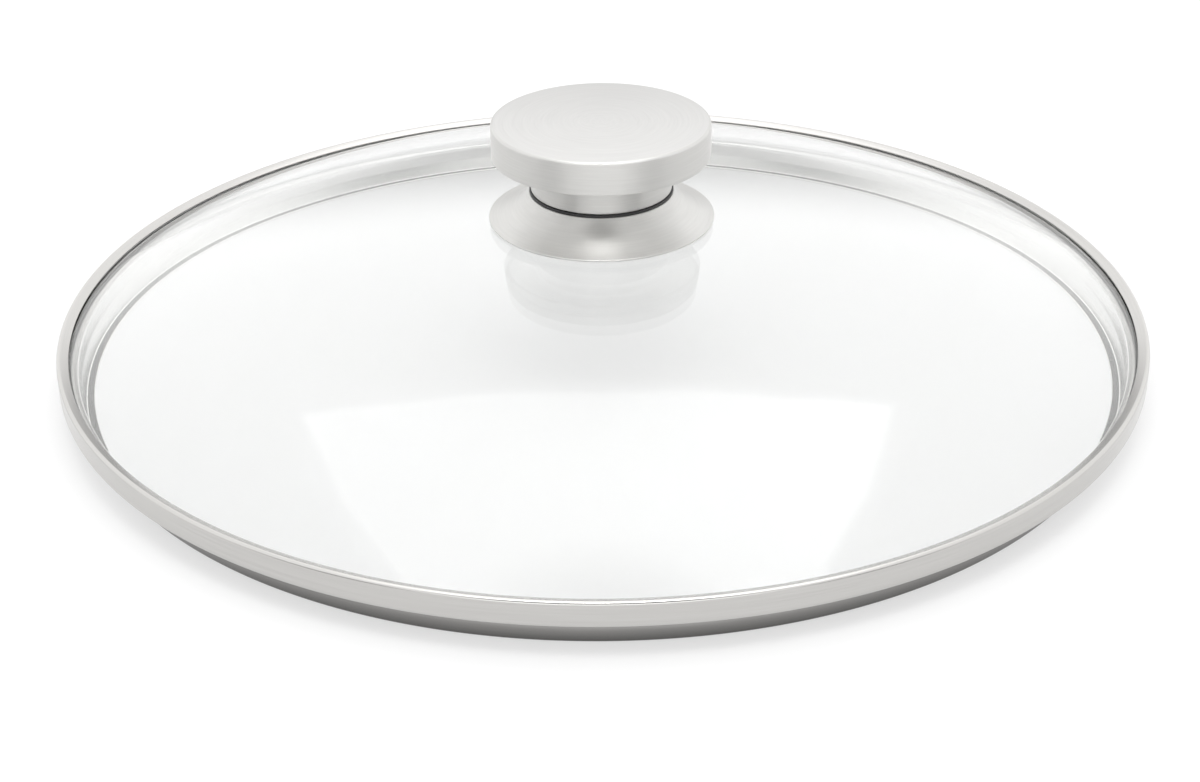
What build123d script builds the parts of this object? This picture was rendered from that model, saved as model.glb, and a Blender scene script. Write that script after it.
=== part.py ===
from build123d import *

import math
import os

# Domed glass pan lid with a pressed steel rim and a hollow steel knob.
# Millimetres, +Z up. The origin is the centre of the ring that the rim's skirt stands on.
# Nearly every piece is turned about Z, so outlines are drawn as (radius, height) and spun.

# Glass
GLASS_THICKNESS = 4.0
GLASS_APEX = 42.3
GLASS_DOME_RADIUS = 362.5
GLASS_EDGE_RADIUS = 143.0
GLASS_HOLE_RADIUS = 6.0
GLASS_EDGE_ROUND = 0.8

# Rim, one strip of sheet: lip, band, flange, skirt and hem
RIM_SHEET = 0.6
RIM_RADIUS = 145.0
RIM_CREST = 15.2
LIP_RADIUS = 141.9
LIP_HEIGHT = 13.95
FLANGE_HEIGHT = 8.3
SKIRT_RADIUS = 139.4
SKIRT_TAPER_START = 4.0
SKIRT_FOOT_RADIUS = 138.2
HEM_RADIUS = 135.6
CREST_ROUND = 0.8
BAND_ROUND = 0.8
FLANGE_ROUND = 0.7
TAPER_ROUND = 4.0
HEM_ROUND = 0.9

# Seal between the glass edge and the rim
RIM_GASKET_INNER_RADIUS = 140.4
RIM_GASKET_LIP_RADIUS = 142.75
RIM_GASKET_LIP = 0.12
RIM_GASKET_TOP = 13.5
RIM_GASKET_ROUND = 0.3

# Knob
KNOB_RADIUS = 28.8
KNOB_TOP = 67.8
KNOB_UNDERSIDE = 58.9
KNOB_SHEET = 1.2
KNOB_EDGE_ROUND = 0.8
NECK_RADIUS = 18.6
NECK_BOTTOM = 49.35
NECK_UPPER_ROUND = 2.5
NECK_LOWER_ROUND = 0.4
NECK_HOLE_RADIUS = 4.1

# Insulating ring and foot under the knob
RING_RADIUS = 19.0
RING_ROUND = 0.15
FOOT_TOP = 48.65
FOOT_SHOULDER_RADIUS = 19.2
FOOT_SHOULDER_ROUND = 0.5
FOOT_RADIUS = 29.9
FOOT_EDGE_HEIGHT = 41.75
FOOT_EDGE_SLOPE = 10.0
FOOT_SHEET = 0.6
FOOT_GASKET_OUTER_RADIUS = 28.6
FOOT_GASKET_INNER_RADIUS = 26.6
FOOT_GASKET_OUTER_TOP = 41.34
FOOT_GASKET_INNER_TOP = 41.93

# M6 fastening through the hole in the glass
SCREW_RADIUS = 3.0
SCREW_LENGTH = 25.0
SCREW_HEAD_RADIUS = 6.0
SCREW_HEAD_HEIGHT = 3.7
SCREW_HEAD_ROUND = 1.6
SCREW_TIP_CHAMFER = 0.7
RECESS_SPAN = 6.4
RECESS_WIDTH = 1.3
RECESS_DEPTH = 2.1
RECESS_TAPER = 12.0
BOSS_RADIUS = 5.0
BOSS_TOP = 63.0
BOSS_FLANGE_RADIUS = 9.0
BOSS_FLANGE_THICKNESS = 1.4
BOSS_BORE_DEPTH = 10.6
GROMMET_FLANGE_RADIUS = 9.5
GROMMET_FLANGE_THICKNESS = 1.2
SEAL_WASHER_RADIUS = 11.8
SEAL_WASHER_BOTTOM = 36.9
CUP_WASHER_RADIUS = 13.2
CUP_WASHER_RIM = 37.7
CUP_WASHER_SHEET = 1.0
CUP_WASHER_ROUND = 1.3
LOCK_WASHER_RADIUS = 5.9
LOCK_WASHER_THICKNESS = 1.6
LOCK_WASHER_GAP = 1.1
LOCK_WASHER_GAP_ANGLE = 20.0

# Air left between pieces that fit into each other, and round the screw
FIT_GAP = 0.05
SCREW_GAP = 0.4

CUP_WASHER_BOTTOM = SEAL_WASHER_BOTTOM - CUP_WASHER_SHEET
LOCK_WASHER_BOTTOM = CUP_WASHER_BOTTOM - LOCK_WASHER_THICKNESS
SCREW_HOLE_RADIUS = SCREW_RADIUS + SCREW_GAP


def sphere_height(sphere_radius, radius):
    """Height of a point on one of the two glass surfaces, which share a centre."""
    centre_height = GLASS_APEX - GLASS_DOME_RADIUS
    return centre_height + math.sqrt(sphere_radius**2 - radius**2)


def glass_top(radius):
    return sphere_height(GLASS_DOME_RADIUS, radius)


def glass_underside(radius):
    return sphere_height(GLASS_DOME_RADIUS - GLASS_THICKNESS, radius)


def spin(section):
    """Turns a (radius, height) outline about Z."""
    return revolve(Plane.XZ * section, Axis.Z)


def sheet_section(path, thickness, side):
    """The section of pressed sheet whose one face follows the path."""
    return make_face(offset(path, amount=thickness, side=side))


def round_corner(section, corner, radius):
    """Rounds the corner of a section that lies nearest to the given point."""
    return fillet(section.vertices().sort_by_distance(corner)[0], radius)


def glass_dome():
    """Tempered glass, a spherical cap of even thickness with a central hole."""
    inner_sphere_radius = GLASS_DOME_RADIUS - GLASS_THICKNESS
    edge_angle = math.asin(GLASS_EDGE_RADIUS / GLASS_DOME_RADIUS)
    lower_edge_radius = inner_sphere_radius * math.sin(edge_angle)
    top_edge = (GLASS_EDGE_RADIUS, glass_top(GLASS_EDGE_RADIUS))
    lower_edge = (lower_edge_radius, glass_underside(lower_edge_radius))
    hole_top = (GLASS_HOLE_RADIUS, glass_top(GLASS_HOLE_RADIUS))
    hole_bottom = (GLASS_HOLE_RADIUS, glass_underside(GLASS_HOLE_RADIUS))
    outline = Curve() + [
        RadiusArc(hole_top, top_edge, GLASS_DOME_RADIUS),
        Line(top_edge, lower_edge),
        RadiusArc(lower_edge, hole_bottom, -inner_sphere_radius),
        Line(hole_bottom, hole_top),
    ]
    section = make_face(outline)
    section = round_corner(section, top_edge, GLASS_EDGE_ROUND)
    section = round_corner(section, lower_edge, GLASS_EDGE_ROUND)
    return spin(section)


def rim_band():
    """Steel strip folded over the glass edge, stepped in below to a skirt with a hem."""
    outer_face = FilletPolyline(
        (LIP_RADIUS, LIP_HEIGHT),
        (RIM_RADIUS, RIM_CREST),
        (RIM_RADIUS, FLANGE_HEIGHT),
        (SKIRT_RADIUS, FLANGE_HEIGHT),
        (SKIRT_RADIUS, SKIRT_TAPER_START),
        (SKIRT_FOOT_RADIUS, 0),
        (HEM_RADIUS, 0),
        radius=[CREST_ROUND, BAND_ROUND, FLANGE_ROUND, TAPER_ROUND, HEM_ROUND],
    )
    return spin(sheet_section(outer_face, RIM_SHEET, Side.RIGHT))


def rim_gasket():
    """Silicone channel seal that cushions the glass edge inside the rim."""
    floor_height = FLANGE_HEIGHT + RIM_SHEET + FIT_GAP
    wall_radius = RIM_RADIUS - RIM_SHEET - FIT_GAP
    edge_radius = GLASS_EDGE_RADIUS + FIT_GAP
    edge_angle = math.asin(GLASS_EDGE_RADIUS / GLASS_DOME_RADIUS)
    lower_edge_radius = edge_radius - GLASS_THICKNESS * math.sin(edge_angle)
    lip_bottom = glass_top(RIM_GASKET_LIP_RADIUS) + FIT_GAP
    section = make_face(
        Polyline(
            (RIM_GASKET_INNER_RADIUS, floor_height),
            (wall_radius, floor_height),
            (wall_radius, RIM_GASKET_TOP),
            (RIM_GASKET_LIP_RADIUS, lip_bottom + RIM_GASKET_LIP),
            (RIM_GASKET_LIP_RADIUS, lip_bottom),
            (edge_radius, glass_top(edge_radius) + FIT_GAP),
            (lower_edge_radius, glass_underside(lower_edge_radius) - FIT_GAP),
            (RIM_GASKET_INNER_RADIUS, glass_underside(RIM_GASKET_INNER_RADIUS) - FIT_GAP),
            close=True,
        )
    )
    section = round_corner(section, (wall_radius, floor_height), RIM_GASKET_ROUND)
    return spin(section)


def knob_cap():
    """Top and side wall of the hollow knob, one pressed cup, open below."""
    outer_face = FilletPolyline(
        (0, KNOB_TOP),
        (KNOB_RADIUS, KNOB_TOP),
        (KNOB_RADIUS, KNOB_UNDERSIDE),
        radius=KNOB_EDGE_ROUND,
    )
    return spin(sheet_section(outer_face, KNOB_SHEET, Side.RIGHT))


def knob_underplate():
    """Drawn plate that closes the cap from below and runs down as the neck."""
    outer_face = FilletPolyline(
        (NECK_HOLE_RADIUS, NECK_BOTTOM),
        (NECK_RADIUS, NECK_BOTTOM),
        (NECK_RADIUS, KNOB_UNDERSIDE),
        (KNOB_RADIUS - KNOB_SHEET - FIT_GAP, KNOB_UNDERSIDE),
        radius=[NECK_LOWER_ROUND, NECK_UPPER_ROUND],
    )
    return spin(sheet_section(outer_face, KNOB_SHEET, Side.LEFT))


def knob_boss():
    """Threaded bush inside the neck, with a spigot through the neck's floor."""
    floor_top = NECK_BOTTOM + KNOB_SHEET
    flange_top = floor_top + BOSS_FLANGE_THICKNESS
    spigot_radius = NECK_HOLE_RADIUS - FIT_GAP
    bore_radius = SCREW_RADIUS + FIT_GAP
    bore_top = NECK_BOTTOM + BOSS_BORE_DEPTH
    section = make_face(
        Polyline(
            (bore_radius, NECK_BOTTOM),
            (spigot_radius, NECK_BOTTOM),
            (spigot_radius, floor_top),
            (BOSS_FLANGE_RADIUS, floor_top),
            (BOSS_FLANGE_RADIUS, flange_top),
            (BOSS_RADIUS, flange_top),
            (BOSS_RADIUS, BOSS_TOP),
            (0, BOSS_TOP),
            (0, bore_top),
            (bore_radius, bore_top),
            close=True,
        )
    )
    return spin(section)


def knob_ring():
    """Thin black insulating ring between the neck and the foot."""
    section = make_face(
        Polyline(
            (SCREW_HOLE_RADIUS, FOOT_TOP),
            (RING_RADIUS, FOOT_TOP),
            (RING_RADIUS, NECK_BOTTOM),
            (SCREW_HOLE_RADIUS, NECK_BOTTOM),
            close=True,
        )
    )
    section = round_corner(section, (RING_RADIUS, NECK_BOTTOM), RING_ROUND)
    section = round_corner(section, (RING_RADIUS, FOOT_TOP), RING_ROUND)
    return spin(section)


def knob_foot():
    """Trumpet-shaped steel foot, a flat web that flares down to the glass."""
    slope = math.radians(FOOT_EDGE_SLOPE)
    shoulder = (FOOT_SHOULDER_RADIUS, FOOT_TOP)
    edge = (FOOT_RADIUS, FOOT_EDGE_HEIGHT)
    inward_and_up = (-math.cos(slope), math.sin(slope))
    outer_face = Curve() + [
        Line((SCREW_HOLE_RADIUS, FOOT_TOP), shoulder),
        TangentArc(edge, shoulder, tangent=inward_and_up),
    ]
    section = sheet_section(outer_face, FOOT_SHEET, Side.RIGHT)
    return spin(round_corner(section, shoulder, FOOT_SHOULDER_ROUND))


def foot_gasket():
    """Thin silicone ring on the glass, just inside the foot's edge."""
    outer_bottom = glass_top(FOOT_GASKET_OUTER_RADIUS) + FIT_GAP
    inner_bottom = glass_top(FOOT_GASKET_INNER_RADIUS) + FIT_GAP
    section = make_face(
        Polyline(
            (FOOT_GASKET_INNER_RADIUS, inner_bottom),
            (FOOT_GASKET_OUTER_RADIUS, outer_bottom),
            (FOOT_GASKET_OUTER_RADIUS, FOOT_GASKET_OUTER_TOP),
            (FOOT_GASKET_INNER_RADIUS, FOOT_GASKET_INNER_TOP),
            close=True,
        )
    )
    return spin(section)


def hole_grommet():
    """Silicone top-hat bush that keeps the screw off the glass."""
    spigot_radius = GLASS_HOLE_RADIUS - FIT_GAP
    spigot_bottom = glass_underside(0)
    flange_bottom = GLASS_APEX
    flange_top = flange_bottom + GROMMET_FLANGE_THICKNESS
    section = make_face(
        Polyline(
            (SCREW_HOLE_RADIUS, spigot_bottom),
            (spigot_radius, spigot_bottom),
            (spigot_radius, flange_bottom),
            (GROMMET_FLANGE_RADIUS, flange_bottom),
            (GROMMET_FLANGE_RADIUS, flange_top),
            (SCREW_HOLE_RADIUS, flange_top),
            close=True,
        )
    )
    return spin(section)


def inner_gasket():
    """Silicone seal washer between the glass and the cup washer."""
    section = make_face(
        Polyline(
            (SCREW_HOLE_RADIUS, SEAL_WASHER_BOTTOM),
            (SEAL_WASHER_RADIUS, SEAL_WASHER_BOTTOM),
            (SEAL_WASHER_RADIUS, glass_underside(SEAL_WASHER_RADIUS) - FIT_GAP),
            (SCREW_HOLE_RADIUS, glass_underside(SCREW_HOLE_RADIUS) - FIT_GAP),
            close=True,
        )
    )
    return spin(section)


def cup_washer():
    """Steel washer with an upturned rim that holds the seal washer."""
    outer_face = FilletPolyline(
        (SCREW_HOLE_RADIUS, CUP_WASHER_BOTTOM),
        (CUP_WASHER_RADIUS, CUP_WASHER_BOTTOM),
        (CUP_WASHER_RADIUS, CUP_WASHER_RIM),
        radius=CUP_WASHER_ROUND,
    )
    return spin(sheet_section(outer_face, CUP_WASHER_SHEET, Side.LEFT))


def lock_washer():
    """Split spring washer under the screw's head."""
    ring = Circle(LOCK_WASHER_RADIUS) - Circle(SCREW_RADIUS + SCREW_GAP / 2)
    gap = Pos(LOCK_WASHER_RADIUS, 0) * Rectangle(2 * LOCK_WASHER_RADIUS, LOCK_WASHER_GAP)
    split_ring = ring - Rot(0, 0, LOCK_WASHER_GAP_ANGLE) * gap
    return Pos(0, 0, LOCK_WASHER_BOTTOM) * extrude(split_ring, LOCK_WASHER_THICKNESS)


def knob_screw():
    """M6 pan head screw, driven from inside the dome by its cross recess."""
    head_bottom = LOCK_WASHER_BOTTOM - SCREW_HEAD_HEIGHT
    shank_top = LOCK_WASHER_BOTTOM + SCREW_LENGTH
    section = make_face(
        Polyline(
            (0, head_bottom),
            (SCREW_HEAD_RADIUS, head_bottom),
            (SCREW_HEAD_RADIUS, LOCK_WASHER_BOTTOM),
            (SCREW_RADIUS, LOCK_WASHER_BOTTOM),
            (SCREW_RADIUS, shank_top - SCREW_TIP_CHAMFER),
            (SCREW_RADIUS - SCREW_TIP_CHAMFER, shank_top),
            (0, shank_top),
            close=True,
        )
    )
    section = round_corner(section, (SCREW_HEAD_RADIUS, head_bottom), SCREW_HEAD_ROUND)
    wing = Rectangle(RECESS_SPAN, RECESS_WIDTH)
    cross = wing + Rot(0, 0, 90) * wing
    recess = extrude(cross, RECESS_DEPTH, taper=RECESS_TAPER)
    return spin(section) - Pos(0, 0, head_bottom) * recess


PIECES = [
    glass_dome,
    rim_band,
    rim_gasket,
    knob_cap,
    knob_underplate,
    knob_boss,
    knob_ring,
    knob_foot,
    foot_gasket,
    hole_grommet,
    inner_gasket,
    cup_washer,
    lock_washer,
    knob_screw,
]

os.makedirs("parts", exist_ok=True)
for make_piece in PIECES:
    export_step(make_piece(), f"parts/{make_piece.__name__}.step")
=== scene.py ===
import math

import bpy
from mathutils import Matrix, Vector


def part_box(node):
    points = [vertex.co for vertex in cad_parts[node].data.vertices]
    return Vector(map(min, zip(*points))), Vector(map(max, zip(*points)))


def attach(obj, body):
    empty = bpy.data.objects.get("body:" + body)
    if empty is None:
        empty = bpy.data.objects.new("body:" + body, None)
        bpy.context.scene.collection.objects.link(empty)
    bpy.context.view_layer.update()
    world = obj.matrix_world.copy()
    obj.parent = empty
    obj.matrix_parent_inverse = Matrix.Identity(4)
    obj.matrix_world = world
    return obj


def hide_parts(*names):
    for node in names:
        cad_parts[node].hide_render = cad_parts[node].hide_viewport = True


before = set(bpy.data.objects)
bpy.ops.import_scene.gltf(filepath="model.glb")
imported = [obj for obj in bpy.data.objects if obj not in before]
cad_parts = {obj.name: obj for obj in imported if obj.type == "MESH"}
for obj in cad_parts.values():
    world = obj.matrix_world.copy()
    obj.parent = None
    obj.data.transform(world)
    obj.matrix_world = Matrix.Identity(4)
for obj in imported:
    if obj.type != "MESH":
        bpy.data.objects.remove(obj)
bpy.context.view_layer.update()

# Outlines are (radius, height) in millimetres, as on the lid's drawing, and lathe() turns
# them about Z into metres. Outer sizes come from the frame, and the sizes below repeat the
# CAD part's own, except that some edges are rounded differently.
MM = 0.001
BODY = "root"

GLASS_DOME_RADIUS = 362.5
GLASS_THICKNESS = 4.0
GLASS_APEX = 42.3
GLASS_EDGE_RADIUS = 143.0
GLASS_HOLE_RADIUS = 6.0
GLASS_EDGE_ROUND = 0.6

RIM_SHEET = 0.6
LIP_RADIUS = 141.9
LIP_HEIGHT = 13.95
RIM_CREST = 15.2
FLANGE_HEIGHT = 8.3
SKIRT_RADIUS = 139.4
SKIRT_TAPER_START = 4.0
SKIRT_FOOT_RADIUS = 138.2
HEM_RADIUS = 135.6
CREST_ROUND = 0.8
BAND_ROUND = 0.8
FLANGE_ROUND = 0.7
TAPER_ROUND = 4.0
HEM_ROUND = 0.9
RIM_TIP_ROUND = 0.22
RIM_SEAL_INNER_RADIUS = 140.4
RIM_SEAL_LIP_RADIUS = 142.75
RIM_SEAL_LIP = 0.12
RIM_SEAL_ROUND = 0.3

KNOB_SHEET = 1.2
KNOB_EDGE_ROUND = 0.8
KNOB_LIP_ROUND = 0.25
KNOB_INNER_ROUND = 0.4
NECK_RADIUS = 18.6
NECK_UPPER_ROUND = 2.5
NECK_LOWER_ROUND = 0.4
NECK_FLOOR_ROUND = 0.3
NECK_HOLE_RADIUS = 4.1
RING_ROUND = 0.15

FOOT_SHEET = 0.6
FOOT_SHOULDER_RADIUS = 19.2
FOOT_SHOULDER_ROUND = 0.25
FOOT_EDGE_HEIGHT = 41.75
FOOT_EDGE_SLOPE = math.radians(10.0)
FOOT_EDGE_ROUND = 0.2
FOOT_SEAL_INNER_RADIUS = 26.6
FOOT_SEAL_OUTER_TOP = 41.34

SCREW_HOLE_RADIUS = 3.4
FIT_GAP = 0.05
SHEET_ROUND = 0.15
SMALL_ROUND = 0.1

# How finely curves are divided, and the bend from which an edge is shaded sharp
ARC_STEP = math.radians(9.0)
GLASS_STEPS = 80
FLARE_STEPS = 28
RIM_SEGMENTS = 384
KNOB_SEGMENTS = 256
SHARP_ANGLE = math.radians(40.0)


# ---------------------------------------------------------------- outlines and meshes

def reach(node):
    """Outer radius, lowest and highest point of a turned CAD node, in millimetres."""
    low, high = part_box(node)
    return high.x / MM, low.z / MM, high.z / MM


def rounded(corners):
    """A closed outline through corners given as (radius, height, rounding)."""
    outline = []
    for index, (across, up, rounding) in enumerate(corners):
        here = Vector((across, up))
        if rounding == 0:
            outline.append(here)
            continue
        to_last = (Vector(corners[index - 1][:2]) - here).normalized()
        to_next = (Vector(corners[(index + 1) % len(corners)][:2]) - here).normalized()
        half = to_last.angle(to_next) / 2
        centre = here + (to_last + to_next).normalized() * rounding / math.sin(half)
        spoke = here + to_last * rounding / math.tan(half) - centre
        turn = math.pi - 2 * half
        if to_last.cross(to_next) > 0:
            turn = -turn
        steps = max(2, math.ceil(abs(turn) / ARC_STEP))
        for step in range(steps + 1):
            outline.append(centre + Matrix.Rotation(turn * step / steps, 2) @ spoke)
    return outline


TIGHTEST_BEND = 0.15


def strip_outline(path, thickness, tip_rounding):
    """Closed outline of sheet whose outer face follows the path's corners.

    The sheet lies to the right of the path. Its bends share a centre on both faces, but no
    bend is tighter than TIGHTEST_BEND.
    """
    points = [Vector(corner[:2]) for corner in path]
    sides = [(b - a).normalized() for a, b in zip(points, points[1:])]
    rights = [Vector((side.y, -side.x)) for side in sides]
    inner = [(*(points[0] + rights[0] * thickness), tip_rounding)]
    for index in range(1, len(points) - 1):
        before, after = rights[index - 1], rights[index]
        shift = (before + after) * thickness / (1 + before.dot(after))
        turns_right = sides[index - 1].cross(sides[index]) < 0
        change = -thickness if turns_right else thickness
        inner.append((*(points[index] + shift), max(path[index][2] + change, TIGHTEST_BEND)))
    inner.append((*(points[-1] + rights[-1] * thickness), tip_rounding))
    outer = [(*path[0][:2], tip_rounding), *path[1:-1], (*path[-1][:2], tip_rounding)]
    return rounded(outer + inner[::-1])


def finish_mesh(name, vertices, faces, material, node):
    """Makes a piece that stands for one CAD node, shaded smooth but for its real edges."""
    mesh = bpy.data.meshes.new(name)
    mesh.from_pydata(vertices, [], faces)
    mesh.validate()
    mesh.shade_smooth()
    mesh.set_sharp_from_angle(angle=SHARP_ANGLE)
    mesh.materials.append(material)
    piece = bpy.data.objects.new(name, mesh)
    bpy.context.scene.collection.objects.link(piece)
    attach(piece, BODY)
    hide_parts(node)
    return piece


def lathe(name, outline, segments, material, node):
    """Turns a closed outline, which runs clockwise as drawn, into a solid of revolution.

    A point on the axis is one vertex, and the faces that meet there are triangles.
    """
    angles = [math.tau * index / segments for index in range(segments)]
    vertices, rings = [], []
    for across, up in outline:
        start = len(vertices)
        if across == 0:
            vertices.append((0, 0, up * MM))
            rings.append([start] * segments)
            continue
        for angle in angles:
            x = across * MM * math.cos(angle)
            y = across * MM * math.sin(angle)
            vertices.append((x, y, up * MM))
        rings.append(list(range(start, len(vertices))))
    faces = []
    for index, ring in enumerate(rings):
        after = rings[(index + 1) % len(rings)]
        for here in range(segments):
            there = (here + 1) % segments
            corners = [ring[here], after[here], after[there], ring[there]]
            corners = list(dict.fromkeys(corners))
            if len(corners) > 2:
                faces.append(corners)
    return finish_mesh(name, vertices, faces, material, node)


# ---------------------------------------------------------------- materials

# Most of a noise texture's values lie between these two.
NOISE_LOW = 0.3
NOISE_HIGH = 0.7


class Nodes:
    """A short way to write a material's node tree."""

    def __init__(self, tree):
        self.tree = tree

    def add(self, kind, inputs=None, **settings):
        node = self.tree.nodes.new(kind)
        for key, value in settings.items():
            setattr(node, key, value)
        for key, value in (inputs or {}).items():
            if isinstance(value, bpy.types.NodeSocket):
                self.tree.links.new(value, node.inputs[key])
            else:
                node.inputs[key].default_value = value
        return node

    def math(self, operation, *values):
        inputs = dict(enumerate(values))
        return self.add("ShaderNodeMath", inputs, operation=operation).outputs[0]

    def distance(self, spot, place):
        inputs = {0: spot, 1: place}
        return self.add("ShaderNodeVectorMath", inputs, operation="DISTANCE").outputs["Value"]

    def ramp(self, value, low, high, to_low, to_high, smooth=False):
        """Takes low to high over to the other range, and holds its ends outside that."""
        kind = "SMOOTHSTEP" if smooth else "LINEAR"
        inputs = {0: value, 1: low, 2: high, 3: to_low, 4: to_high}
        return self.add("ShaderNodeMapRange", inputs, interpolation_type=kind).outputs[0]

    def turned_grain(self, grain, streaks):
        """Noise drawn out round Z: grain is its width in metres, streaks how often it breaks.

        It is four-dimensional: the direction round Z, the radius and the height.
        """
        spot = self.add("ShaderNodeTexCoord").outputs["Object"]
        x, y, z = self.add("ShaderNodeSeparateXYZ", {0: spot}).outputs
        flat = self.add("ShaderNodeCombineXYZ", {"X": x, "Y": y}).outputs[0]
        radius = self.add("ShaderNodeVectorMath", {0: flat}, operation="LENGTH").outputs["Value"]
        unit = self.add("ShaderNodeVectorMath", {0: flat}, operation="NORMALIZE").outputs[0]
        around = self.add("ShaderNodeVectorMath", {0: unit, "Scale": streaks}, operation="SCALE")
        around_x, around_y, _ = self.add("ShaderNodeSeparateXYZ", {0: around.outputs[0]}).outputs
        across = self.math("DIVIDE", radius, grain)
        up = self.math("DIVIDE", z, grain)
        place = self.add("ShaderNodeCombineXYZ", {"X": around_x, "Y": around_y, "Z": across})
        noise = self.add(
            "ShaderNodeTexNoise",
            {"Vector": place.outputs[0], "W": up, "Scale": 1.0, "Detail": 3.0, "Roughness": 0.6},
            noise_dimensions="4D",
        )
        return noise.outputs["Fac"]

    def cloud(self, size, detail=2.0):
        """Even noise with patches of about the given size in metres."""
        spot = self.add("ShaderNodeTexCoord").outputs["Object"]
        inputs = {"Vector": spot, "Scale": 1.0 / size, "Detail": detail}
        return self.add("ShaderNodeTexNoise", inputs).outputs["Fac"]

    def tint(self, colour, value, darkest, lightest):
        """The colour, made darker or lighter by the value."""
        amount = self.ramp(value, NOISE_LOW, NOISE_HIGH, darkest, lightest)
        scaled = self.add("ShaderNodeVectorMath", {0: colour, "Scale": amount}, operation="SCALE")
        return scaled.outputs[0]

    def bump(self, height, distance):
        """A bumpy normal: distance is how deep the height goes, in metres."""
        inputs = {"Height": height, "Distance": distance, "Strength": 1.0}
        return self.add("ShaderNodeBump", inputs).outputs[0]


def new_material(name):
    material = bpy.data.materials.new(name)
    material.use_nodes = True
    return material, Nodes(material.node_tree), material.node_tree.nodes["Principled BSDF"]


def plug(nodes, shader, **sockets):
    """Sets the shader's sockets, or links them to a node's output."""
    for key, value in sockets.items():
        socket = shader.inputs[key.replace("_", " ")]
        if isinstance(value, bpy.types.NodeSocket):
            nodes.tree.links.new(value, socket)
        else:
            socket.default_value = value


def turned_steel(name, colour, roughness, spread, grain, streaks, depth, anisotropy):
    """Stainless steel with a fine grain round Z, and faint cloudy patches from polishing.

    The grain's width and the depth of its scratches are in metres. The roughness varies by
    the spread either way.
    """
    material, nodes, shader = new_material(name)
    streak = nodes.turned_grain(grain, streaks)
    broad = nodes.turned_grain(grain * 6, streaks * 0.5)
    patch = nodes.cloud(size=0.03)
    rough_streak = nodes.ramp(streak, NOISE_LOW, NOISE_HIGH, roughness - spread, roughness + spread)
    rough_patch = nodes.ramp(patch, 0.35, 0.65, -spread * 0.5, spread * 0.5)
    tangent = nodes.add("ShaderNodeTangent", direction_type="RADIAL", axis="Z").outputs[0]
    plug(
        nodes,
        shader,
        Base_Color=nodes.tint(colour, broad, darkest=0.965, lightest=1.03),
        Metallic=1.0,
        Roughness=nodes.math("ADD", rough_streak, rough_patch),
        Anisotropic=anisotropy,
        Anisotropic_Rotation=0.25,
        Tangent=tangent,
        Normal=nodes.bump(streak, depth),
    )
    return material


# How much of its colour the skirt keeps under its painted shade, at its foot and under the flange
SKIRT_FOOT_SHADE = 0.2
SKIRT_TOP_SHADE = 1.0


def paint_shade_on_skirt(material):
    """Paints shade on the outside of the skirt, darker towards its foot.

    The glowing floor lights it there, where a plain floor would leave it in shadow.
    """
    nodes = Nodes(material.node_tree)
    shader = material.node_tree.nodes["Principled BSDF"]
    colour = shader.inputs["Base Color"].links[0].from_socket
    spot = nodes.add("ShaderNodeTexCoord").outputs["Object"]
    up = nodes.add("ShaderNodeSeparateXYZ", {0: spot}).outputs["Z"]
    share = nodes.ramp(up, 0.0, FLANGE_HEIGHT * MM, SKIRT_FOOT_SHADE, SKIRT_TOP_SHADE)
    shaded = nodes.add("ShaderNodeVectorMath", {0: colour, "Scale": share}, operation="SCALE")
    plug(nodes, shader, Base_Color=shaded.outputs[0])


def clear_glass():
    """Tempered soda-lime glass, faintly green, with the slight waves of pressed glass."""
    material, nodes, shader = new_material("clear_tempered_glass")
    wave = nodes.cloud(size=0.07, detail=1.0)
    plug(
        nodes,
        shader,
        Base_Color=(0.965, 0.971, 0.967, 1.0),
        Transmission_Weight=1.0,
        Roughness=0.0,
        IOR=1.51,
        Normal=nodes.bump(wave, distance=0.04e-3),
    )
    return material


def silicone():
    """Matt grey silicone rubber, finely speckled."""
    material, nodes, shader = new_material("grey_silicone")
    speck = nodes.cloud(size=0.0008, detail=3.0)
    patch = nodes.cloud(size=0.01)
    plug(
        nodes,
        shader,
        Base_Color=nodes.tint((0.28, 0.28, 0.275), patch, darkest=0.93, lightest=1.05),
        Roughness=nodes.ramp(speck, NOISE_LOW, NOISE_HIGH, 0.48, 0.62),
        Normal=nodes.bump(speck, distance=0.01e-3),
    )
    return material


def black_plastic():
    """Heatproof black plastic with a fine moulded texture."""
    material, nodes, shader = new_material("black_insulator")
    speck = nodes.cloud(size=0.0006, detail=3.0)
    patch = nodes.cloud(size=0.008)
    plug(
        nodes,
        shader,
        Base_Color=nodes.tint((0.014, 0.014, 0.015), patch, darkest=0.9, lightest=1.1),
        Roughness=nodes.ramp(speck, NOISE_LOW, NOISE_HIGH, 0.38, 0.5),
        Normal=nodes.bump(speck, distance=0.01e-3),
    )
    return material


RIM_COLOUR = (0.53, 0.521, 0.507)

RIM_STEEL = turned_steel(
    "rim_steel", RIM_COLOUR, roughness=0.22, spread=0.03,
    grain=0.12e-3, streaks=8.0, depth=0.8e-6, anisotropy=0.4,
)
# The skirt's outside: the same steel with painted shade, darker towards its foot.
SKIRT_PAINTED_SHADE_STEEL = turned_steel(
    "skirt_painted_shade_steel", RIM_COLOUR, roughness=0.22, spread=0.03,
    grain=0.12e-3, streaks=8.0, depth=0.8e-6, anisotropy=0.4,
)
paint_shade_on_skirt(SKIRT_PAINTED_SHADE_STEEL)
KNOB_STEEL = turned_steel(
    "knob_steel", (0.63, 0.625, 0.61), roughness=0.44, spread=0.04,
    grain=0.08e-3, streaks=4.0, depth=0.6e-6, anisotropy=0.88,
)
FOOT_STEEL = turned_steel(
    "foot_steel", (0.62, 0.615, 0.60), roughness=0.42, spread=0.04,
    grain=0.08e-3, streaks=4.0, depth=0.6e-6, anisotropy=0.85,
)
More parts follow.
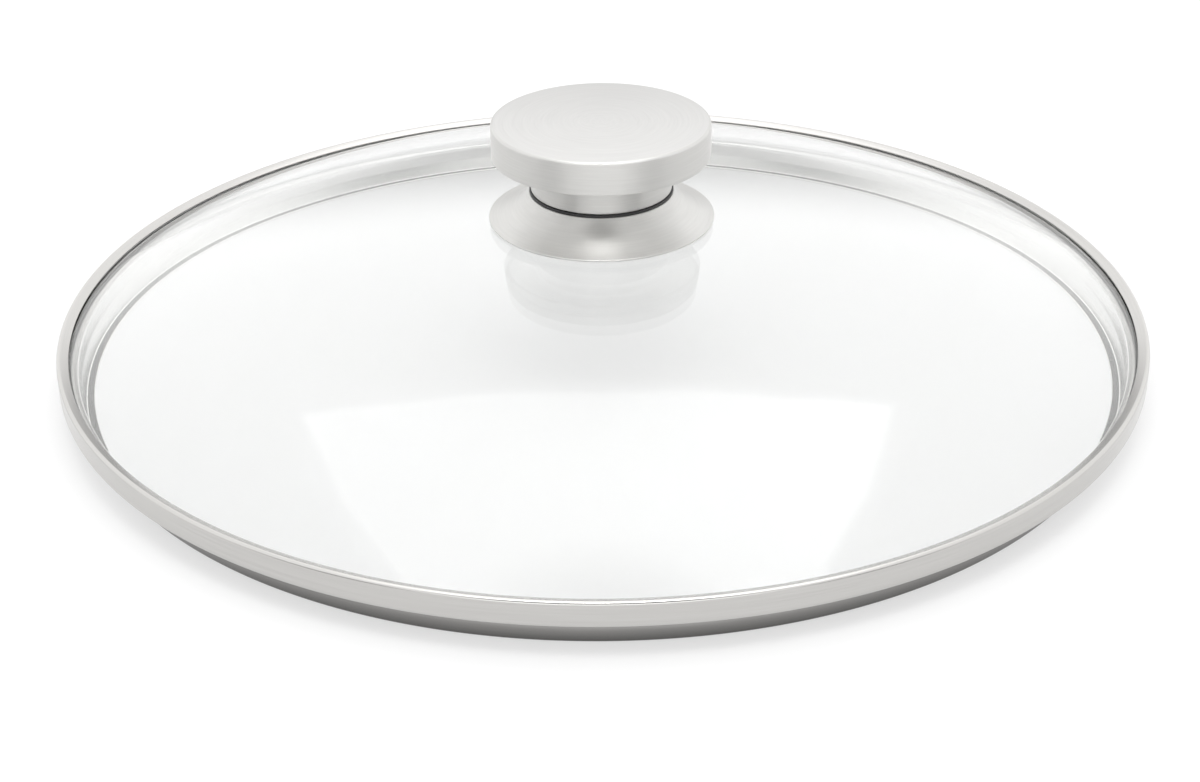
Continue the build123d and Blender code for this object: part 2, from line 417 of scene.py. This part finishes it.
# Smoother steel with painted light: its bright colour lights the knob's underside and the inside of
# the skirt.
POLISHED_PAINTED_LIGHT_STEEL = turned_steel(
    "polished_painted_light_steel", (0.88, 0.875, 0.86), roughness=0.24, spread=0.02,
    grain=0.1e-3, streaks=3.0, depth=0.1e-6, anisotropy=0.4,
)
KNOB_TOP_STEEL = turned_steel(
    "knob_top_steel", (0.635, 0.63, 0.62), roughness=0.36, spread=0.02,
    grain=0.1e-3, streaks=3.0, depth=0.4e-6, anisotropy=0.0,
)
FASTENER_STEEL = turned_steel(
    "fastener_steel", (0.60, 0.59, 0.58), roughness=0.35, spread=0.06,
    grain=0.2e-3, streaks=2.0, depth=3.0e-6, anisotropy=0.5,
)
GLASS = clear_glass()
SILICONE = silicone()
BLACK_PLASTIC = black_plastic()


# ---------------------------------------------------------------- glass

def sphere_height(sphere_radius, radius):
    """Height of a point on one of the two glass surfaces, which share a centre."""
    return GLASS_APEX - GLASS_DOME_RADIUS + math.sqrt(sphere_radius**2 - radius**2)


def sphere_arc(sphere_radius, start, end):
    """Corners along one face of the glass, with both ends rounded off."""
    corners = []
    for step in range(GLASS_STEPS + 1):
        across = start + (end - start) * step / GLASS_STEPS
        rounding = GLASS_EDGE_ROUND if step in (0, GLASS_STEPS) else 0
        corners.append((across, sphere_height(sphere_radius, across), rounding))
    return corners


def make_glass():
    inner_radius = GLASS_DOME_RADIUS - GLASS_THICKNESS
    lean = math.asin(GLASS_EDGE_RADIUS / GLASS_DOME_RADIUS)
    lower_edge = inner_radius * math.sin(lean)
    top = sphere_arc(GLASS_DOME_RADIUS, GLASS_HOLE_RADIUS, GLASS_EDGE_RADIUS)
    under = sphere_arc(inner_radius, lower_edge, GLASS_HOLE_RADIUS)
    outline = rounded(top + under)
    lathe("domed_glass", outline, RIM_SEGMENTS, GLASS, "glass_dome")


# ---------------------------------------------------------------- rim

def make_rim():
    """The folded strip. Its skirt has painted shade outside, darker towards its foot, and painted
    light inside, brighter than its band.
    """
    outer_radius, bottom, _ = reach("rim_band")
    path = [
        (LIP_RADIUS, LIP_HEIGHT, 0),
        (outer_radius, RIM_CREST, CREST_ROUND),
        (outer_radius, FLANGE_HEIGHT, BAND_ROUND),
        (SKIRT_RADIUS, FLANGE_HEIGHT, FLANGE_ROUND),
        (SKIRT_RADIUS, SKIRT_TAPER_START, TAPER_ROUND),
        (SKIRT_FOOT_RADIUS, bottom, HEM_ROUND),
        (HEM_RADIUS, bottom, 0),
    ]
    outline = strip_outline(path, RIM_SHEET, RIM_TIP_ROUND)
    piece = lathe("steel_rim", outline, RIM_SEGMENTS, RIM_STEEL, "rim_band")
    # The outside of the skirt gets steel with painted shade, darker towards its foot.
    piece.data.materials.append(SKIRT_PAINTED_SHADE_STEEL)
    # The inside of the skirt gets the polished steel with painted light.
    piece.data.materials.append(POLISHED_PAINTED_LIGHT_STEEL)
    # Below the flange, outward faces take the painted shade and inward faces the painted light.
    for face in piece.data.polygons:
        outward = face.normal.x * face.center.x + face.normal.y * face.center.y > 0
        if face.center.z < FLANGE_HEIGHT * MM:
            face.material_index = 1 if outward else 2


def make_rim_gasket():
    """The silicone channel between the glass edge and the steel."""
    outer_radius, floor, top = reach("rim_gasket")
    edge = GLASS_EDGE_RADIUS + FIT_GAP
    lean = math.asin(GLASS_EDGE_RADIUS / GLASS_DOME_RADIUS)
    under_radius = GLASS_DOME_RADIUS - GLASS_THICKNESS
    lower_edge = edge - GLASS_THICKNESS * math.sin(lean)
    inner = RIM_SEAL_INNER_RADIUS
    lip = RIM_SEAL_LIP_RADIUS
    lip_bottom = sphere_height(GLASS_DOME_RADIUS, lip) + FIT_GAP
    outline = rounded([
        (lip, lip_bottom + RIM_SEAL_LIP, 0),
        (outer_radius, top, 0),
        (outer_radius, floor, RIM_SEAL_ROUND),
        (inner, floor, 0),
        (inner, sphere_height(under_radius, inner) - FIT_GAP, SMALL_ROUND),
        (lower_edge, sphere_height(under_radius, lower_edge) - FIT_GAP, SMALL_ROUND),
        (edge, sphere_height(GLASS_DOME_RADIUS, edge) + FIT_GAP, 0),
        (lip, lip_bottom, 0),
    ])
    lathe("rim_channel_seal", outline, RIM_SEGMENTS, SILICONE, "rim_gasket")


# ---------------------------------------------------------------- knob

def make_knob_cap():
    """The knob's top and side wall. The flat top is a little smoother than the wall."""
    outer_radius, bottom, top = reach("knob_cap")
    inner_radius = outer_radius - KNOB_SHEET
    outline = rounded([
        (0, top, 0),
        (outer_radius, top, KNOB_EDGE_ROUND),
        (outer_radius, bottom, KNOB_LIP_ROUND),
        (inner_radius, bottom, SHEET_ROUND),
        (inner_radius, top - KNOB_SHEET, KNOB_INNER_ROUND),
        (0, top - KNOB_SHEET, 0),
    ])
    piece = lathe("knob_top_shell", outline, KNOB_SEGMENTS, KNOB_STEEL, "knob_cap")
    piece.data.materials.append(KNOB_TOP_STEEL)
    for face in piece.data.polygons:
        faces_up = face.normal.z > 0.99
        if faces_up and face.center.z > (top - FIT_GAP) * MM:
            face.material_index = 1


def make_knob_underplate():
    """The plate that closes the cap from below and runs down as the neck.

    Its underside is polished smoother than the rest, and painted light makes it brighter.
    """
    outer_radius, bottom, top = reach("knob_underplate")
    underside = top - KNOB_SHEET
    floor_top = bottom + KNOB_SHEET
    outline = rounded([
        (outer_radius, top, SHEET_ROUND),
        (outer_radius, underside, SHEET_ROUND),
        (NECK_RADIUS, underside, NECK_UPPER_ROUND),
        (NECK_RADIUS, bottom, NECK_LOWER_ROUND),
        (NECK_HOLE_RADIUS, bottom, SMALL_ROUND),
        (NECK_HOLE_RADIUS, floor_top, SMALL_ROUND),
        (NECK_RADIUS - KNOB_SHEET, floor_top, NECK_FLOOR_ROUND),
        (NECK_RADIUS - KNOB_SHEET, top, NECK_UPPER_ROUND + KNOB_SHEET),
    ])
    piece = lathe(
        "knob_neck_shell", outline, KNOB_SEGMENTS, KNOB_STEEL, "knob_underplate"
    )
    # The underside gets the polished steel with painted light.
    piece.data.materials.append(POLISHED_PAINTED_LIGHT_STEEL)
    for face in piece.data.polygons:
        faces_down = face.normal.z < -0.5
        if faces_down and face.center.z > floor_top * MM:
            face.material_index = 1


def make_knob_ring():
    """The thin black ring between the neck and the foot."""
    outer_radius, bottom, top = reach("knob_ring")
    outline = rounded([
        (SCREW_HOLE_RADIUS, top, SMALL_ROUND),
        (outer_radius, top, RING_ROUND),
        (outer_radius, bottom, SMALL_ROUND),
        (SCREW_HOLE_RADIUS, bottom, SMALL_ROUND),
    ])
    lathe("insulating_ring", outline, KNOB_SEGMENTS, BLACK_PLASTIC, "knob_ring")


def make_knob_foot():
    """The trumpet-shaped foot, whose flare is an arc that ends at the edge's slope."""
    outer_radius, _, top = reach("knob_foot")
    shoulder = Vector((FOOT_SHOULDER_RADIUS, top))
    edge = Vector((outer_radius, FOOT_EDGE_HEIGHT))
    outward = Vector((math.sin(FOOT_EDGE_SLOPE), math.cos(FOOT_EDGE_SLOPE)))
    chord = edge - shoulder
    flare = chord.length_squared / (-2 * chord.dot(outward))
    centre = edge + outward * flare
    first = math.atan2(shoulder.y - centre.y, shoulder.x - centre.x)
    last = math.atan2(edge.y - centre.y, edge.x - centre.x)
    web_bottom = top - FOOT_SHEET
    upper, lower = [], []
    for step in range(FLARE_STEPS + 1):
        angle = first + (last - first) * step / FLARE_STEPS
        spoke = Vector((math.cos(angle), math.sin(angle)))
        upper.append((*(centre + spoke * flare), 0))
        lower.append((*(centre + spoke * (flare + FOOT_SHEET)), 0))
    lower = [corner for corner in lower if corner[1] < web_bottom]
    upper[0] = (*shoulder, FOOT_SHOULDER_ROUND)
    upper[-1] = (*upper[-1][:2], FOOT_EDGE_ROUND)
    lower[-1] = (*lower[-1][:2], FOOT_EDGE_ROUND)
    outline = rounded([
        (SCREW_HOLE_RADIUS, top, SMALL_ROUND),
        *upper,
        *lower[::-1],
        (SCREW_HOLE_RADIUS, web_bottom, SMALL_ROUND),
    ])
    lathe("flared_foot", outline, KNOB_SEGMENTS, FOOT_STEEL, "knob_foot")


def make_foot_gasket():
    """The thin silicone ring on the glass, just inside the foot's edge."""
    outer_radius, bottom, top = reach("foot_gasket")
    inner = FOOT_SEAL_INNER_RADIUS
    outline = rounded([
        (inner, top, 0.08),
        (outer_radius, FOOT_SEAL_OUTER_TOP, 0.06),
        (outer_radius, bottom, 0.04),
        (inner, sphere_height(GLASS_DOME_RADIUS, inner) + FIT_GAP, 0.06),
    ])
    lathe("foot_seal", outline, KNOB_SEGMENTS, SILICONE, "foot_gasket")


# ---------------------------------------------------------------- stage, light and camera

# The camera stands in front of the lid, on its -Y side, and looks along +Y and down.
CAMERA_PLACE = Vector((-0.0009, -0.5365, 0.2770))
CAMERA_DROP = math.radians(28.3)
CAMERA_ROLL = math.radians(-0.57)
CAMERA_LENS = 66.0
SENSOR = 36.0


def make_camera():
    camera = bpy.data.objects.new("camera", bpy.data.cameras.new("camera"))
    camera.data.lens = CAMERA_LENS
    camera.data.sensor_width = SENSOR
    aim = Matrix.Rotation(math.pi / 2 - CAMERA_DROP, 4, "X") @ Matrix.Rotation(CAMERA_ROLL, 4, "Z")
    camera.matrix_world = Matrix.Translation(CAMERA_PLACE) @ aim
    bpy.context.scene.collection.objects.link(camera)
    bpy.context.scene.camera = camera


def stage_mesh(name, vertices, faces, material):
    """Makes a piece of the studio, which isn't part of the lid."""
    mesh = bpy.data.meshes.new(name)
    mesh.from_pydata(vertices, [], faces)
    mesh.materials.append(material)
    piece = bpy.data.objects.new(name, mesh)
    bpy.context.scene.collection.objects.link(piece)
    return piece


FLOOR_HALF_WIDTH = 6.0
FLOOR_GLOW = 0.56
FLOOR_COLOUR = (0.34, 0.34, 0.34)


def make_floor():
    """A white light table: it glows a little, so the lid's shadow stays faint.

    From below it is clear, so that the lid's underside can be looked at too.
    """
    material, nodes, shader = new_material("pale_floor")
    patch = nodes.cloud(size=0.15)
    plug(
        nodes,
        shader,
        Base_Color=nodes.tint(FLOOR_COLOUR, patch, darkest=0.995, lightest=1.005),
        Roughness=1.0,
        Specular_IOR_Level=0.0,
        Emission_Color=(1.0, 1.0, 1.0, 1.0),
        Emission_Strength=FLOOR_GLOW,
    )
    from_below = nodes.add("ShaderNodeNewGeometry").outputs["Backfacing"]
    clear = nodes.add("ShaderNodeBsdfTransparent").outputs[0]
    surface = nodes.add("ShaderNodeMixShader", {0: from_below, 1: shader.outputs[0], 2: clear})
    output = material.node_tree.nodes["Material Output"]
    material.node_tree.links.new(surface.outputs[0], output.inputs["Surface"])
    half = FLOOR_HALF_WIDTH
    corners = [(-half, -half, 0), (half, -half, 0), (half, half, 0), (-half, half, 0)]
    stage_mesh("floor", corners, [[0, 1, 2, 3]], material)


# The softbox's outline is (across, back) in metres. Measured from its middle, it glows fully
# out to SOFTBOX_INNER of the outline, and has faded to nothing at SOFTBOX_OUTER of it.
SOFTBOX_HEIGHT = 2.0
SOFTBOX_MIDDLE = (0.0, 0.3)
SOFTBOX_OUTLINE = [
    (-1.16, 1.61),
    (-0.72, 1.44),
    (0.0, 1.33),
    (0.65, 1.41),
    (1.09, 1.57),
    (0.92, 0.90),
    (0.74, 0.45),
    (1.20, -0.10),
    (1.20, -0.90),
    (-1.20, -0.90),
    (-1.20, -0.10),
    (-0.68, 0.40),
    (-0.92, 0.90),
]
SOFTBOX_OUTER = 1.05
SOFTBOX_INNER = 0.95

# Its strength a half width to the left and to the right, the share of that straight over
# the lid, which rises to the whole between two radii, and the key light near its front
SOFTBOX_LEFT = 2.0
SOFTBOX_RIGHT = 2.45
SOFTBOX_HALF_WIDTH = 1.0
DIM_SHARE = 0.5
DIM_RADIUS = 0.2
FULL_RADIUS = 0.6
KEY_PLACE = (0.0, -0.68)
KEY_REACH = 0.8
KEY_LIGHT = 8.0


def make_softbox():
    """An overhead panel with soft edges, brighter on its right and above the camera.

    The camera doesn't see it directly.
    """
    middle = Vector(SOFTBOX_MIDDLE)
    spokes = [Vector(corner) - middle for corner in SOFTBOX_OUTLINE]
    outer = [middle + spoke * SOFTBOX_OUTER for spoke in spokes]
    inner = [middle + spoke * SOFTBOX_INNER for spoke in spokes]
    count = len(outer)
    vertices = [(*corner, SOFTBOX_HEIGHT) for corner in outer + inner]
    faces = [list(range(count, 2 * count))]
    for here in range(count):
        there = (here + 1) % count
        faces.append([here, there, count + there, count + here])
    softbox = stage_mesh("softbox", vertices, faces, softbox_light())
    fade = softbox.data.attributes.new("fade", "FLOAT", "POINT")
    for index in range(count, 2 * count):
        fade.data[index].value = 1.0
    softbox.visible_camera = False


def softbox_light():
    """The panel's glow, mixed with clear by the fade attribute."""
    material = bpy.data.materials.new("softbox")
    material.use_nodes = True
    nodes = Nodes(material.node_tree)
    material.node_tree.nodes.clear()
    spot = nodes.add("ShaderNodeTexCoord").outputs["Object"]
    across = nodes.add("ShaderNodeSeparateXYZ", {0: spot}).outputs["X"]
    side = SOFTBOX_HALF_WIDTH
    even = nodes.ramp(across, -side, side, SOFTBOX_LEFT, SOFTBOX_RIGHT, smooth=True)
    off_centre = nodes.distance(spot, (0.0, 0.0, SOFTBOX_HEIGHT))
    share = nodes.ramp(off_centre, DIM_RADIUS, FULL_RADIUS, DIM_SHARE, 1.0, smooth=True)
    even = nodes.math("MULTIPLY", even, share)
    off_key = nodes.distance(spot, (*KEY_PLACE, SOFTBOX_HEIGHT))
    key = nodes.ramp(off_key, 0.0, KEY_REACH, KEY_LIGHT, 0.0, smooth=True)
    glow = nodes.add("ShaderNodeEmission", {"Strength": nodes.math("ADD", even, key)})
    clear = nodes.add("ShaderNodeBsdfTransparent")
    fade = nodes.add("ShaderNodeAttribute", attribute_name="fade").outputs["Fac"]
    mix = nodes.add("ShaderNodeMixShader", {0: fade, 1: clear.outputs[0], 2: glow.outputs[0]})
    output = nodes.add("ShaderNodeOutputMaterial")
    material.node_tree.links.new(mix.outputs[0], output.inputs[0])
    return material


BACK_LIGHT = 1.38
FRONT_LIGHT = 1.35

# Soft dark ovals of the room: the centre and the half size, across and up as parts of a unit
# direction, and the share of the light that is left inside. The ceiling's and the corners'
# are on the camera's side.
CEILING_SHADE = ((0.0, 0.62), (0.4, 0.28), 0.04)
CORNER_SHADE = ((0.76, 0.0), (0.2, 0.3), 0.1)
FAR_END_SHADE = ((0.0, 0.1), (0.3, 0.25), 0.4)

# Where an oval starts to lighten, and where it ends, as shares of its half size
SHADE_START = 0.4
SHADE_END = 1.3

# The glow behind the camera, and the angles off its middle where it starts to fade and ends
CAMERA_SIDE_GLOW = 1.0
GLOW_INNER_ANGLE = 0.2
GLOW_OUTER_ANGLE = 0.6


def soft_shade(nodes, across, up, centre, half_size, level):
    """How much light is left in and round a soft dark oval of the room."""
    sideways = nodes.math("DIVIDE", nodes.math("SUBTRACT", across, centre[0]), half_size[0])
    upward = nodes.math("DIVIDE", nodes.math("SUBTRACT", up, centre[1]), half_size[1])
    sideways_square = nodes.math("POWER", sideways, 2.0)
    upward_square = nodes.math("POWER", upward, 2.0)
    away = nodes.math("SQRT", nodes.math("ADD", sideways_square, upward_square))
    return nodes.ramp(away, SHADE_START, SHADE_END, level, 1.0, smooth=True)


def make_world():
    """A bright room with a few darker parts, and a glow behind the camera."""
    world = bpy.data.worlds.new("studio")
    bpy.context.scene.world = world
    world.use_nodes = True
    nodes = Nodes(world.node_tree)
    # The parts of a unit direction: to the right, away from the camera, and up
    way = nodes.add("ShaderNodeTexCoord").outputs["Generated"]
    across, back, up = nodes.add("ShaderNodeSeparateXYZ", {0: way}).outputs
    level = nodes.ramp(back, -0.2, 0.6, FRONT_LIGHT, BACK_LIGHT, smooth=True)
    ceiling = soft_shade(nodes, across, up, *CEILING_SHADE)
    corners = soft_shade(nodes, nodes.math("ABSOLUTE", across), up, *CORNER_SHADE)
    shade = nodes.math("MULTIPLY", ceiling, corners)
    at_back = nodes.ramp(back, -0.15, 0.1, 0.0, 1.0, smooth=True)
    level = nodes.math("MULTIPLY", level, nodes.math("MAXIMUM", shade, at_back))
    far_end = soft_shade(nodes, across, up, *FAR_END_SHADE)
    in_front = nodes.ramp(back, 0.3, 0.0, 0.0, 1.0, smooth=True)
    level = nodes.math("MULTIPLY", level, nodes.math("MAXIMUM", far_end, in_front))
    forward = nodes.math("MULTIPLY", back, -1.0)
    fade_end = math.cos(GLOW_OUTER_ANGLE)
    fade_start = math.cos(GLOW_INNER_ANGLE)
    glow = nodes.ramp(forward, fade_end, fade_start, 0.0, CAMERA_SIDE_GLOW, smooth=True)
    background = world.node_tree.nodes["Background"]
    background.inputs["Color"].default_value = (1, 1, 1, 1)
    strength = nodes.math("ADD", level, glow)
    world.node_tree.links.new(strength, background.inputs["Strength"])


# ---------------------------------------------------------------- build

bpy.context.scene.view_settings.view_transform = "Standard"
make_camera()
make_world()
make_floor()
make_softbox()
make_glass()
make_rim()
make_rim_gasket()
make_knob_cap()
make_knob_underplate()
make_knob_ring()
make_knob_foot()
make_foot_gasket()

KEPT_NODES = {
    "knob_boss": FASTENER_STEEL,
    "cup_washer": FASTENER_STEEL,
    "lock_washer": FASTENER_STEEL,
    "knob_screw": FASTENER_STEEL,
    "hole_grommet": SILICONE,
    "inner_gasket": SILICONE,
}
for node, material in KEPT_NODES.items():
    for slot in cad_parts[node].material_slots:
        slot.material = material
